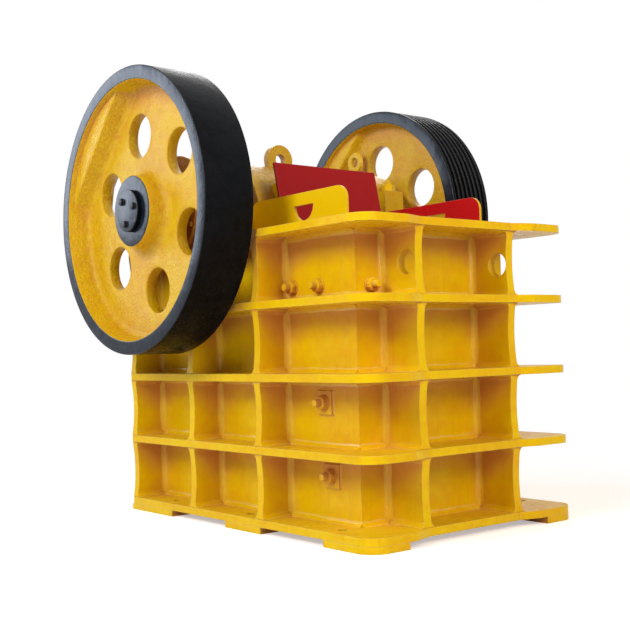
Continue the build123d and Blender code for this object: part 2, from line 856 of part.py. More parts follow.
# Hopper cheeks on top of the side plates, each with a D-shaped window
hopper_top = frame_top + hopper_height
hopper_out = side_plate_in + hopper_gap + hopper_thick
with BuildPart() as hopper_cheek:
    with BuildSketch(Plane.YZ.offset(-hopper_out)) as cheek:
        with Locations(((hopper_front + hopper_rear) / 2, (frame_top + hopper_top) / 2)):
            Rectangle(hopper_rear - hopper_front, hopper_height)
        fillet(cheek.vertices().group_by(Axis.Y)[-1], hopper_corner)
        with BuildSketch(mode=Mode.SUBTRACT):
            with Locations((hopper_window_y, hopper_top - hopper_window_drop)):
                Circle(hopper_window_half)
                Rectangle(
                    2 * hopper_window_half,
                    hopper_window_half,
                    align=(Align.CENTER, Align.MAX),
                    mode=Mode.INTERSECT,
                )
    extrude(amount=hopper_thick)
    with BuildSketch(Plane.XY.offset(frame_top)):
        with Locations((-hopper_out, (hopper_front + hopper_rear) / 2)):
            Rectangle(
                hopper_foot_width, hopper_rear - hopper_front, align=(Align.MAX, Align.CENTER)
            )
    extrude(amount=hopper_foot_thick)
finish_pair(hopper_cheek, "hopper_cheek")

# Head guard: a leaning plate in front of the head, on gussets from the casting
lean = tan(radians(guard_lean))
guard_depth = guard_thick / cos(radians(guard_lean))
guard_foot_y = guard_top_y - (guard_top_z - guard_foot_z) * lean
gusset_low = guard_foot_z + guard_gusset_rise
gusset_high = guard_top_z - guard_gusset_rise
front_line = on_jaw(0, body_front)
front_rise = (neck_front_place[0] - front_line[0]) / (neck_front_place[1] - front_line[1])
with BuildPart() as head_guard:
    with BuildSketch(Plane.YZ):
        with BuildLine():
            Polyline(
                (guard_foot_y, guard_foot_z),
                (guard_top_y, guard_top_z),
                (guard_top_y + guard_depth, guard_top_z),
                (guard_foot_y + guard_depth, guard_foot_z),
                close=True,
            )
        make_face()
    extrude(amount=guard_half_width, both=True)
    for gusset_x in (-guard_gusset_x, guard_gusset_x):
        with BuildSketch(Plane.YZ.offset(gusset_x)):
            with BuildLine():
                Polyline(
                    (guard_foot_y + guard_depth + (gusset_low - guard_foot_z) * lean, gusset_low),
                    (guard_top_y + guard_depth - (guard_top_z - gusset_high) * lean, gusset_high),
                    neck_front_place,
                    (front_line[0] + (gusset_low - front_line[1]) * front_rise, gusset_low),
                    close=True,
                )
            make_face()
            with Locations((shaft_y, shaft_z)):
                Circle(head_radius, mode=Mode.SUBTRACT)
        extrude(amount=guard_gusset_thick / 2, both=True)
finish(head_guard, "head_guard")

# Lifting eye on top of the head
eye_z = shaft_z + head_radius + eye_rise
with BuildPart() as lifting_eye:
    with BuildSketch(Plane.XZ.offset(-shaft_y)):
        with BuildLine():
            Polyline(
                (-eye_foot, eye_z - 2 * eye_rise),
                (eye_foot, eye_z - 2 * eye_rise),
                (eye_outer, eye_z),
                (-eye_outer, eye_z),
                close=True,
            )
        make_face()
        with Locations((0, eye_z)):
            Circle(eye_outer)
            Circle(eye_hole, mode=Mode.SUBTRACT)
    extrude(amount=eye_thick / 2, both=True)
    with BuildSketch(Plane.YZ):
        with Locations((shaft_y, shaft_z)):
            Circle(head_radius)
    extrude(amount=head_half_length, both=True, mode=Mode.SUBTRACT)
finish(lifting_eye, "lifting_eye")


def bolt_stacks(face, places, plate_thick):
    """Hexagon nuts on a wall, each on a square plate or bare."""
    for place in places:
        if plate_thick > 0:
            with BuildSketch(face) as plate:
                with Locations(place):
                    Rectangle(bolt_plate_side, bolt_plate_side)
            extrude(plate.sketch, amount=plate_thick)
        with BuildSketch(face.offset(plate_thick)) as nut:
            with Locations(place):
                RegularPolygon(liner_nut_radius, 6)
        extrude(nut.sketch, amount=liner_nut_thick)


# Bolts of the cheek plates and of the fixed jaw plate
with BuildPart() as liner_bolts:
    bolt_stacks(left_face, upper_bolt_places, 0)
    bolt_stacks(left_face, lower_bolt_places, bolt_plate_thick)
    bolt_stacks(front_face, [(-front_bolt_x, front_bolt_z)], 0)
finish_pair(liner_bolts, "liner_bolts")
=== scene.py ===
"""Jaw crusher: paint, castings, fillets, bolts, floor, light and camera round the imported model."""
import math

import bmesh
import bpy
import numpy as np
from mathutils import Matrix, Vector


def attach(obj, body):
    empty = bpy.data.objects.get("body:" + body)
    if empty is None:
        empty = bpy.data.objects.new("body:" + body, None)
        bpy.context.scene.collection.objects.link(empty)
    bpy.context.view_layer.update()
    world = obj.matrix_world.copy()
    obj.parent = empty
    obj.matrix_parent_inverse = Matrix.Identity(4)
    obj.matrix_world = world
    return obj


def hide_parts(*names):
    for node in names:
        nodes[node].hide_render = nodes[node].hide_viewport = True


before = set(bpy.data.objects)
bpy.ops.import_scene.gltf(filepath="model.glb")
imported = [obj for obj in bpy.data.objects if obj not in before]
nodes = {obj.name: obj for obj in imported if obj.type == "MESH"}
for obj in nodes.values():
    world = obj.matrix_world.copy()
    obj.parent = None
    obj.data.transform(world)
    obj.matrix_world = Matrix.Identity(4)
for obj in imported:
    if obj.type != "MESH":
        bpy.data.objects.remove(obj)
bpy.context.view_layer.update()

# Sizes of the CAD that the new pieces are set against, in metres. A share is of a wheel's radius,
# and a turn is in degrees.
SHAFT_Y, SHAFT_Z = 0.539, 1.741
SIDE_IN, SIDE_OUT = 0.475, 0.530
WALL_FRONT, WALL_REAR = -0.770, 0.932
FLANGE_TOPS = np.array((0.075, 0.450, 0.825, 1.200, 1.575))
BAY_HEIGHT = 0.335
RIB_HALF = 0.024
SIDE_RIBS = np.array((1.108, 0.460, -0.188))
FRONT_RIB = 0.327
SIDE_REACH, FRONT_REACH, REAR_REACH = 0.188, 0.243, 0.183
WHEEL_IN, WHEEL_OUT = 0.763, 1.060
FLYWHEEL_RADIUS, PULLEY_RADIUS = 0.800, 0.752
FLYWHEEL_TURN, PULLEY_TURN = 40.5, 31.0
HUB_FACE, HUB_BACK, HUB_RADIUS, HUB_BORE = 1.030, 0.787, 0.198, 0.1101
WEB_FRONT, WEB_BACK = 0.925, 0.855
WEB_FILLET, HUB_FILLET = 0.034, 0.050
RIM_THICK, RIM_DRAFT = 0.076, 0.014
HOLE_SHARE, HOLE_CIRCLE_SHARE = 0.156, 0.565
BALANCE_SHARE, BALANCE_TURN, BALANCE_DEPTH = 0.72, 44.0, 0.034
GROOVES, GROOVE_PITCH, GROOVE_HALF = 7, 0.038, 0.0135
GROOVE_FLOOR, GROOVE_FLOOR_HALF = 0.726, 0.005
CORED_HOLE_Y, CORED_HOLE_Z = 0.731, 2.196
END_PLATE_RADIUS, END_PLATE_THICK = 0.118, 0.028
END_BOLT_CIRCLE, END_BOLT_TURN = 0.076, 134
HOUSING_END, COVER_BOLT_CIRCLE = 0.762, 0.207
LUG_X, LUG_Y, LUG_TOP, LUG_HALF = 0.6075, 0.334, 1.916, 0.075
PAD_X, PAD_HALF, BASE_UNDER = 0.615, 0.120, 0.035
HOPPER_X, HOPPER_Y, HOPPER_HALF_LONG, HOPPER_HALF_WIDE = 0.518, -0.265, 0.410, 0.026
CHEEK_RED_SIDE = 0.4765
ROD_Z, ROD_RADIUS, NUT_FACE = 0.250, 0.021, 1.086
SPRING_FACE, SPRING_LENGTH, SPRING_PLATE_HALF = 0.952, 0.110, 0.140
BOLT_PLATE_HALF, BOLT_PLATE_THICK = 0.059, 0.016

# The direction across the guard's leaning plate, and how far along it the plate's red reaches
GUARD_ACROSS, GUARD_RED_SIDE = (0.0, 0.9759, -0.2181), -0.343
# y and z of the liner bolts that stand on the side wall itself, and of those on square plates
WALL_BOLTS = ((-0.270, 1.272), (-0.490, 1.270))
PLATE_BOLTS = ((-0.520, 0.675), (-0.563, 0.309))
# x and z of the liner bolt on each half of the front wall
FRONT_BOLT_X, FRONT_BOLT_Z = 0.430, 1.260
# y of each welded edge across the foot pads and the bearing lugs, and the side on which it lies
PAD_EDGES = ((-0.720, 1), (-0.203, -1), (0.120, 1), (0.672, -1))
LUG_EDGES = ((0.155, -1), (0.923, 1))
# A washer's radius, thickness and bore, its nut's flats, height and bore, and its bolt's start,
# radius and length
LINER_BOLT = (0.041, 0.005, 0.021, 0.064, 0.0265, 0.018, 0.020, 0.0195, 0.045)
CAP_BOLT = (0.047, 0.006, 0.025, 0.075, 0.038, 0.0225, 0.030, 0.0235, 0.042)
BAY_FILLET, WELD_FILLET = 0.027, 0.009

# Paints, what the weather leaves on them, the painted shade, and how much of the paint that hides at
# most
LEMON, THIN_LEMON = "#E2BF06", "#DEAF0C"
RED, DARK_RED = "#C0181A", "#A21218"
# The first of these colours is a painted shade under the flanges, and the second dirt with painted
# shade in inner corners
UNDER_FLANGE_SHADE, GRIME_AND_SHADE, STREAKS, DUST = "#C88450", "#6E4418", "#96601A", "#B48C44"
PRIMER, RUST = "#4A3222", "#6E3B1C"
GRIME_AND_SHADE_SHARE, STREAK_SHARE, RUBBED_SHARE, PALE_SHARE = 0.7, 0.15, 0.22, 0.45
WHITE = (1.0, 1.0, 1.0, 1.0)


def linear(colour):
    """The linear RGBA of an sRGB hex colour."""
    parts = [int(colour[i:i + 2], 16) / 255 for i in (1, 3, 5)]
    parts = [c / 12.92 if c <= 0.04045 else ((c + 0.055) / 1.055) ** 2.4 for c in parts]
    return (*parts, 1.0)


def add(tree, kind, inputs=None, **settings):
    """One shader node, with its own settings and its inputs given as values or as sockets.

    A Mix node of colours has its factor at input 0 and its two colours at 6 and 7.
    """
    node = tree.nodes.new("ShaderNode" + kind)
    for name, value in settings.items():
        setattr(node, name, value)
    for key, value in (inputs or {}).items():
        if isinstance(value, bpy.types.NodeSocket):
            tree.links.new(value, node.inputs[key])
        else:
            node.inputs[key].default_value = value
    return node


def blank(name):
    """A new material: its node tree, its shader, and Object coordinates in metres."""
    material = bpy.data.materials.new(name)
    material.use_nodes = True
    tree = material.node_tree
    tree.nodes.clear()
    shader = add(tree, "BsdfPrincipled")
    add(tree, "OutputMaterial", {"Surface": shader.outputs[0]})
    return material, tree, shader, add(tree, "TexCoord").outputs["Object"]


def enamel(name, coat, shade, dust=0.25, chips=0.5, cast=0.0, bevel=0.005, rough=(0.22, 0.40),
           sheen=0.11, soil_and_shade=0.85, second=None, bead=False):
    """Machine enamel over steel: film drift, painted shade under the flanges, dirt and painted shade
    in corners, streaks, dust and worn edges.

    coat and shade are the film where it is fresh and where it is thin. dust, chips and soil are how
    strong each of these gets; soil sets the painted shade under the flanges, the dirt with painted
    shade in inner corners and the streaks. cast is the depth of a sand-cast skin under the film and
    bevel the radius of its edges, in metres. rough is the range of its roughness and sheen its
    specular level. second is another coat, a direction and the distance along it up to which that
    coat reaches. bead adds the ripple of a weld along the piece's own UV map.
    """
    material, tree, shader, where = blank(name)
    normal = add(tree, "NewGeometry").outputs["Normal"]
    # The film drifts in tone over about 400 mm, and over about 50 mm where it was sprayed thin
    drift = add(tree, "TexNoise", {"Vector": where, "Scale": 2.5, "Detail": 3.0, "Roughness": 0.6})
    mottle = add(tree, "TexNoise",
                 {"Vector": where, "Scale": 19.0, "Detail": 4.0, "Roughness": 0.6}).outputs["Fac"]
    tone = add(tree, "Math", {0: drift.outputs["Fac"], 1: mottle}, operation="ADD")
    tone = add(tree, "MapRange", {"Value": tone.outputs[0], "From Min": 0.85, "From Max": 1.20})
    base, thin = linear(coat), linear(shade)
    if second:
        paint, direction, limit = second
        reach = add(tree, "VectorMath", {0: where, 1: direction}, operation="DOT_PRODUCT")
        near = add(tree, "Math", {0: reach.outputs["Value"], 1: limit}, operation="LESS_THAN")
        base = add(tree, "Mix", {0: near.outputs[0], 6: linear(coat), 7: linear(paint)},
                   data_type="RGBA").outputs[2]
        thin = base
    film = add(tree, "Mix", {0: tone.outputs[0], 6: base, 7: thin}, data_type="RGBA")
    # Painted shade: the film turns orange-brown where something within about 200 mm covers it from
    # above, as a flange does
    upward = add(tree, "VectorMath", {0: normal, 1: (0.0, 0.0, 0.9)}, operation="ADD")
    roof = add(tree, "AmbientOcclusion", {"Distance": 0.22, "Normal": upward.outputs[0]}, samples=8)
    under = add(tree, "MapRange", {"Value": roof.outputs["AO"],
                                   "From Min": 0.58, "From Max": 0.24, "To Max": soil_and_shade})
    shaded_film = add(tree, "Mix", {0: under.outputs[0], 6: film.outputs[2], 7: linear(UNDER_FLANGE_SHADE)},
                 data_type="RGBA")
    # Grime and painted shade darken the film in patches within about 60 mm of an inner corner
    shelter = add(tree, "AmbientOcclusion", {"Distance": 0.06}, samples=6).outputs["AO"]
    grime_and_shade = add(tree, "MapRange", {"Value": shelter, "From Min": 0.65, "From Max": 0.15,
                                   "To Max": GRIME_AND_SHADE_SHARE * soil_and_shade})
    patch = add(tree, "MapRange", {"Value": mottle, "From Min": 0.36, "From Max": 0.62})
    grime_and_shade = add(tree, "Math", {0: grime_and_shade.outputs[0], 1: patch.outputs[0]}, operation="MULTIPLY")
    grimy_and_shaded = add(tree, "Mix", {0: grime_and_shade.outputs[0], 6: shaded_film.outputs[2], 7: linear(GRIME_AND_SHADE)},
                data_type="RGBA")
    # Rain has drawn thin streaks, about 25 mm wide and 600 mm long, down the plates
    stretch = add(tree, "Mapping", {"Vector": where, "Scale": (42.0, 42.0, 1.6)})
    streak = add(tree, "TexNoise", {"Vector": stretch.outputs[0], "Scale": 1.0, "Detail": 2.0})
    streak = add(tree, "MapRange", {"Value": streak.outputs["Fac"], "From Min": 0.60,
                                    "From Max": 0.78, "To Max": STREAK_SHARE * soil_and_shade})
    streaked = add(tree, "Mix", {0: streak.outputs[0], 6: grimy_and_shaded.outputs[2], 7: linear(STREAKS)},
                   data_type="RGBA")
    # Dust lies on faces that look up, in patches of about 60 mm
    up = add(tree, "SeparateXYZ", {"Vector": normal}).outputs["Z"]
    level = add(tree, "MapRange", {"Value": up, "From Min": 0.88, "From Max": 0.99})
    cloud = add(tree, "TexNoise",
                {"Vector": where, "Scale": 16.0, "Detail": 5.0, "Roughness": 0.65})
    cloud = add(tree, "MapRange", {"Value": cloud.outputs["Fac"],
                                   "From Min": 0.36, "From Max": 0.66, "To Min": 0.25})
    settled = add(tree, "Math", {0: level.outputs[0], 1: cloud.outputs[0]}, operation="MULTIPLY")
    settled = add(tree, "Math", {0: settled.outputs[0], 1: dust}, operation="MULTIPLY")
    dusty = add(tree, "Mix", {0: settled.outputs[0], 6: streaked.outputs[2], 7: linear(DUST)},
                data_type="RGBA")
    # Edges are rubbed paler, and chipped to the dark primer in spots of about 12 mm
    soft = add(tree, "Bevel", {"Radius": 0.007}, samples=4)
    bend = add(tree, "VectorMath", {0: soft.outputs[0], 1: normal}, operation="DOT_PRODUCT")
    edge = add(tree, "MapRange", {"Value": bend.outputs["Value"],
                                  "From Min": 0.985, "From Max": 0.80})
    open_side = add(tree, "MapRange", {"Value": shelter, "From Min": 0.55, "From Max": 0.85})
    edge = add(tree, "Math", {0: edge.outputs[0], 1: open_side.outputs[0]}, operation="MULTIPLY")
    rubbed = add(tree, "Math", {0: edge.outputs[0], 1: RUBBED_SHARE}, operation="MULTIPLY")
    pale = add(tree, "Mix", {0: PALE_SHARE, 6: dusty.outputs[2], 7: (1.0, 1.0, 0.9, 1.0)},
               data_type="RGBA")
    rubbed = add(tree, "Mix", {0: rubbed.outputs[0], 6: dusty.outputs[2], 7: pale.outputs[2]},
                 data_type="RGBA")
    spots = add(tree, "TexNoise", {"Vector": where, "Scale": 80.0, "Detail": 3.0, "Roughness": 0.7})
    spots = add(tree, "MapRange", {"Value": spots.outputs["Fac"],
                                   "From Min": 0.63, "From Max": 0.67, "To Max": chips})
    chipped = add(tree, "Math", {0: edge.outputs[0], 1: spots.outputs[0]}, operation="MULTIPLY")
    colour = add(tree, "Mix", {0: chipped.outputs[0], 6: rubbed.outputs[2], 7: linear(PRIMER)},
                 data_type="RGBA")
    tree.links.new(colour.outputs[2], shader.inputs["Base Color"])
    # Fresh film is glossy, and dust takes the gloss away
    gloss = add(tree, "MapRange", {"Value": mottle, "From Min": 0.3, "From Max": 0.7,
                                   "To Min": rough[0], "To Max": rough[1]})
    dull = add(tree, "Math", {0: settled.outputs[0], 1: 0.45}, operation="MULTIPLY")
    gloss = add(tree, "Math", {0: gloss.outputs[0], 1: dull.outputs[0]}, operation="ADD",
                use_clamp=True)
    tree.links.new(gloss.outputs[0], shader.inputs["Roughness"])
    # Orange peel of about 4 mm, and a surface that waves over 150 mm and sags over 20 mm
    peel = add(tree, "TexNoise", {"Vector": where, "Scale": 240.0, "Detail": 2.0})
    wave = add(tree, "TexNoise", {"Vector": where, "Scale": 7.0, "Detail": 4.0, "Roughness": 0.55})
    rounded = add(tree, "Bevel", {"Radius": bevel}, samples=5) if bevel else None
    relief = add(tree, "Bump", {"Height": wave.outputs["Fac"], "Strength": 0.6, "Distance": 0.008})
    if rounded:
        tree.links.new(rounded.outputs[0], relief.inputs["Normal"])
    relief = add(tree, "Bump", {"Height": peel.outputs["Fac"], "Strength": 0.30,
                                "Distance": 0.0008, "Normal": relief.outputs[0]})
    if cast:
        # Sand grains show as pits and lumps of 6 to 25 mm
        sand = add(tree, "TexNoise",
                   {"Vector": where, "Scale": 52.0, "Detail": 6.0, "Roughness": 0.60})
        relief = add(tree, "Bump", {"Height": sand.outputs["Fac"], "Strength": 1.0,
                                    "Distance": cast, "Normal": relief.outputs[0]})
    if bead:
        # Weld ripples follow each other every 10 mm along the run
        along = add(tree, "TexCoord").outputs["UV"]
        ripple = add(tree, "TexWave", {"Vector": along, "Scale": 31.0, "Distortion": 1.5,
                                       "Detail": 1.0}, bands_direction="X")
        relief = add(tree, "Bump", {"Height": ripple.outputs["Fac"], "Strength": 0.30,
                                    "Distance": 0.0016, "Normal": relief.outputs[0]})
    tree.links.new(relief.outputs[0], shader.inputs["Normal"])
    shader.inputs["Specular IOR Level"].default_value = sheen
    return material


def steel(name, bare, stain, rust, rough, pit, grain=(1.0, 1.0, 1.0), metallic=0.9):
    """Bare or dark steel: polish that varies with wear, stains, and rust in sheltered places.

    bare and stain are the clean and the stained colour, rust is how strong its bloom gets, rough is
    the range of the roughness and pit the depth of the finest marks in metres. grain stretches
    those marks: a small number along the lay of the tool and a large one across.
    """
    material, tree, shader, where = blank(name)
    # Stains drift over about 90 mm
    blotch = add(tree, "TexNoise", {"Vector": where, "Scale": 11.0, "Detail": 5.0,
                                    "Roughness": 0.65})
    spread = add(tree, "MapRange", {"Value": blotch.outputs["Fac"],
                                    "From Min": 0.35, "From Max": 0.68})
    tone = add(tree, "Mix", {0: spread.outputs[0], 6: linear(bare), 7: linear(stain)},
               data_type="RGBA")
    # Rust blooms in spots of about 30 mm, most of it within 60 mm of an inner corner
    shelter = add(tree, "AmbientOcclusion", {"Distance": 0.06}, samples=6)
    damp = add(tree, "MapRange", {"Value": shelter.outputs["AO"],
                                  "From Min": 0.9, "From Max": 0.3, "To Min": 0.35})
    bloom = add(tree, "TexNoise", {"Vector": where, "Scale": 33.0, "Detail": 6.0, "Roughness": 0.7})
    bloom = add(tree, "MapRange", {"Value": bloom.outputs["Fac"],
                                   "From Min": 0.50, "From Max": 0.66, "To Max": rust})
    bloom = add(tree, "Math", {0: bloom.outputs[0], 1: damp.outputs[0]}, operation="MULTIPLY")
    colour = add(tree, "Mix", {0: bloom.outputs[0], 6: tone.outputs[2], 7: linear(RUST)},
                 data_type="RGBA")
    tree.links.new(colour.outputs[2], shader.inputs["Base Color"])
    # Rust isn't metallic
    shine = add(tree, "Math", {0: bloom.outputs[0], 1: -0.8}, operation="MULTIPLY")
    shine = add(tree, "Math", {0: shine.outputs[0], 1: metallic}, operation="ADD", use_clamp=True)
    tree.links.new(shine.outputs[0], shader.inputs["Metallic"])
    # Tool marks are about 5 mm apart before grain stretches them, coarser than the real ones
    stretch = add(tree, "Mapping", {"Vector": where, "Scale": grain})
    marks = add(tree, "TexNoise", {"Vector": stretch.outputs[0], "Scale": 180.0, "Detail": 3.0})
    polish = add(tree, "Math", {0: marks.outputs["Fac"], 1: bloom.outputs[0]}, operation="ADD")
    polish = add(tree, "MapRange", {"Value": polish.outputs[0], "From Min": 0.35, "From Max": 1.0,
                                    "To Min": rough[0], "To Max": rough[1]})
    tree.links.new(polish.outputs[0], shader.inputs["Roughness"])
    rounded = add(tree, "Bevel", {"Radius": 0.002}, samples=4)
    relief = add(tree, "Bump", {"Height": marks.outputs["Fac"], "Strength": 0.5, "Distance": pit,
                                "Normal": rounded.outputs[0]})
    relief = add(tree, "Bump", {"Height": bloom.outputs[0], "Strength": 0.6, "Distance": 0.0008,
                                "Normal": relief.outputs[0]})
    tree.links.new(relief.outputs[0], shader.inputs["Normal"])
    return material


# Sprayed alkyd enamel on plate: a bright lemon film, with painted shade in orange under the flanges
YELLOW_PLATE = enamel("yellow_alkyd_enamel_on_plate", LEMON, THIN_LEMON)
# The same enamel on castings: the sand skin breaks its gloss into small glints
YELLOW_CAST = enamel("yellow_alkyd_enamel_on_casting", "#D8B206", "#D2A00C", cast=0.009, bevel=0.0,
                     rough=(0.15, 0.32), sheen=0.30, dust=0.06, soil_and_shade=0.8)
# Enamel over hand-laid welds and cast corners: a soft line of light with faint ripples
YELLOW_BEAD = enamel("yellow_alkyd_enamel_on_weld", LEMON, THIN_LEMON, bevel=0.0, dust=0.1,
                     chips=0.1, sheen=0.32, rough=(0.08, 0.20), soil_and_shade=0.35, bead=True)
# Hopper cheeks are red towards the rock and yellow outside
CHEEK_LEFT, CHEEK_RIGHT = (
    enamel(f"yellow_and_red_enamel_on_{name}_plate", LEMON, THIN_LEMON,
           second=(RED, (side, 0.0, 0.0), CHEEK_RED_SIDE), soil_and_shade=0.2, bevel=0.003)
    for name, side in (("left", -1.0), ("right", 1.0)))
# The guard's leaning plate is red, and its gussets are yellow
GUARD = enamel("red_enamel_on_leaning_plate", LEMON, THIN_LEMON,
               second=(DARK_RED, GUARD_ACROSS, GUARD_RED_SIDE),
               sheen=0.15, soil_and_shade=0.15, rough=(0.34, 0.50), bevel=0.003)
# Dark blue enamel on the machined rim and hub faces: its pale sheen comes from the lamp behind
BLUE_FACE = enamel("dark_blue_enamel_on_machined_face", "#121A28", "#18222F", dust=0.05,
                   chips=0.3, rough=(0.18, 0.26), sheen=0.17, soil_and_shade=0.0)
# Black enamel on the treads: deep, with a soft gloss
BLACK_TREAD = enamel("black_enamel_on_turned_tread", "#090B10", "#0F1116", dust=0.12, chips=0.0,
                     bevel=0.0, rough=(0.22, 0.34), sheen=0.06, soil_and_shade=0.0)
# Cast manganese steel: dark skin, polished by rock on its high places
MANGANESE = steel("manganese_steel_casting", "#6A6460", "#3C3733", 0.75, (0.30, 0.60), 0.0016,
                  metallic=0.75)
# Turned shaft steel: bright, with fine marks round the axis and a film of oil
TURNED = steel("turned_shaft_steel", "#A9A9A6", "#7C776F", 0.25, (0.20, 0.42), 0.0002,
               grain=(6.0, 0.4, 0.4))
# Black-oxide bolts: dark and half dull
BLACK_OXIDE = steel("black_oxide_bolt_steel", "#23242A", "#17171A", 0.15, (0.38, 0.55), 0.0002,
                    metallic=0.6)
# Oil-tempered spring wire: brown-black and smooth
SPRING_WIRE = steel("oil_tempered_spring_wire", "#3A3532", "#221F1D", 0.3, (0.30, 0.45), 0.0002,
                    metallic=0.7)
# Grey iron toggle, unpainted: dull, with a rough cast skin
GREY_IRON = steel("grey_iron_casting", "#55504B", "#3B3632", 0.8, (0.45, 0.70), 0.0018,
                  metallic=0.55)


def dress(material, *names):
    """Gives CAD nodes their finish."""
    for name in names:
        nodes[name].data.materials.clear()
        nodes[name].data.materials.append(material)


dress(YELLOW_PLATE, *nodes)
dress(GUARD, "head_guard")
dress(CHEEK_LEFT, "hopper_cheek_left")
dress(CHEEK_RIGHT, "hopper_cheek_right")
dress(YELLOW_CAST, "bearing_saddle_left", "bearing_saddle_right", "bearing_cap_left",
      "bearing_cap_right", "bearing_covers", "swing_jaw", "lifting_eye", "jaw_clamp",
      "flywheel", "pulley")
dress(MANGANESE, "fixed_jaw_plate", "moving_jaw_plate", "cheek_plates_left", "cheek_plates_right")
dress(TURNED, "eccentric_shaft", "tension_rod", "head_rings")
dress(GREY_IRON, "toggle_plate", "toggle_seat")
dress(SPRING_WIRE, "spring")
dress(BLACK_OXIDE, "end_plates")


def piece(name, grids, materials, body, sharp=40.0, uvs=None):
    """One object made of grids of points, with its edges sharp above an angle in degrees.

    Each grid is (points, material index): an array of rows by columns by 3, whose quads join each
    point to the next along its row and to the next row. A grid whose last column repeats its first
    is closed when doubles are merged, and a row that falls on one point closes an end.
    """
    verts, quads, slots, coords = [], [], [], []
    start = 0
    for number, (points, index) in enumerate(grids):
        rows, columns = points.shape[:2]
        corner = np.arange((rows - 1) * columns).reshape(rows - 1, columns)[:, :-1].ravel() + start
        faces = np.stack((corner, corner + 1, corner + 1 + columns, corner + columns), axis=1)
        verts.append(points.reshape(-1, 3))
        quads.append(faces)
        slots.append(np.full(len(faces), index))
        if uvs is not None:
            coords.append(uvs[number].reshape(-1, 2)[faces.ravel() - start])
        start += rows * columns
    verts, quads, slots = np.concatenate(verts), np.concatenate(quads), np.concatenate(slots)
    mesh = bpy.data.meshes.new(name)
    mesh.vertices.add(len(verts))
    mesh.vertices.foreach_set("co", verts.ravel())
    mesh.loops.add(quads.size)
    mesh.loops.foreach_set("vertex_index", quads.ravel())
    mesh.polygons.add(len(quads))
    mesh.polygons.foreach_set("loop_start", np.arange(0, quads.size, 4))
    mesh.polygons.foreach_set("material_index", slots)
    mesh.update(calc_edges=True)
    if uvs is not None:
        layer = mesh.uv_layers.new(name="run")
        layer.data.foreach_set("uv", np.concatenate(coords).ravel())
    work = bmesh.new()
    work.from_mesh(mesh)
    bmesh.ops.remove_doubles(work, verts=work.verts, dist=2e-6)
    bmesh.ops.dissolve_degenerate(work, edges=work.edges, dist=1e-7)
    bmesh.ops.recalc_face_normals(work, faces=work.faces)
    work.to_mesh(mesh)
    work.free()
    mesh.polygons.foreach_set("use_smooth", np.ones(len(mesh.polygons), bool))
    mesh.set_sharp_from_angle(angle=math.radians(sharp))
    for material in materials:
        mesh.materials.append(material)
    thing = bpy.data.objects.new(name, mesh)
    bpy.context.scene.collection.objects.link(thing)
    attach(thing, body)
    return thing


def eased(corners, steps=5, closed=True):
    """A profile through corners (a, r, setback), each turned by a parabola tangent to both sides.

    The parabola from P to Q with control point C is (1-t)^2 P + 2t(1-t) C + t^2 Q, where P and Q
    lie the setback away from the corner C along its two sides.
    """
    corners = np.asarray(corners, float)
    place, setback = corners[:, :2], corners[:, 2:]
    before = np.roll(place, 1, axis=0) - place
    after = np.roll(place, -1, axis=0) - place
    if not closed:
        before[0], after[-1] = after[0], before[-1]
    enter = place + before / np.linalg.norm(before, axis=1, keepdims=True) * setback
    leave = place + after / np.linalg.norm(after, axis=1, keepdims=True) * setback
    t = np.linspace(0, 1, steps)[None, :, None]
    curve = (1 - t) ** 2 * enter[:, None] + 2 * t * (1 - t) * place[:, None] + t**2 * leave[:, None]
    curve = curve.reshape(-1, 2)
    return np.vstack((curve, curve[:1])) if closed else curve


def whole_turn(steps):
    """Angles once round a circle, of which the last repeats the first."""
    angle = np.linspace(0, 2 * math.pi, steps + 1)
    angle[-1] = 0
    return angle


def directions(axis, angle, side=None):
    """Unit vectors across axis, one for each angle from side, or from any line across the axis."""
    if side is None:
        side = np.cross(axis, (0.0, 0.0, 1.0) if abs(axis[2]) < 0.9 else (0.0, 1.0, 0.0))
    u = np.asarray(side) / np.linalg.norm(side)
    return np.cos(angle)[:, None] * u + np.sin(angle)[:, None] * np.cross(axis, u)


def turned(profile, place, axis, steps, side=None):
    """A profile of (distance along the axis, radius) carried round the axis through place."""
    axis = np.asarray(axis, float)
    ring = directions(axis, whole_turn(steps), side)
    profile = np.asarray(profile, float)
    return np.asarray(place) + profile[:, None, :1] * axis + profile[:, None, 1:2] * ring[None]


def hexagon(place, axis, flats, height, bore=0.0, spin=0.0):
    """A hexagon nut or bolt head with turned-off corners, standing on place along axis.

    The radius at angle t is apothem / cos((t mod 60) - 30) degrees, and never more than the cone
    that turns the corners off in the last sixth of the height.
    """
    axis = np.asarray(axis, float)
    angle = whole_turn(36)
    sixth = math.pi / 3
    apothem = flats / 2
    flat = apothem / np.cos(np.mod(angle, sixth) - sixth / 2)
    # Each row's share of the height and of the hexagon, and the cone in apothems
    rows = np.array(((0.0, 0.0, np.inf), (0.0, 1.0, np.inf), (0.84, 1.0, 1.155), (0.93, 1.0, 1.08),
                     (1.0, 0.97, 0.97), (1.0, 0.0, np.inf)))
    radius = np.minimum(flat[None] * rows[:, 1:2], apothem * rows[:, 2:])
    if bore:
        radius[0], radius[-1] = bore, bore
    level = rows[:, 0] * height
    ring = directions(axis, angle + spin)
    return np.asarray(place) + level[:, None, None] * axis + radius[:, :, None] * ring[None]


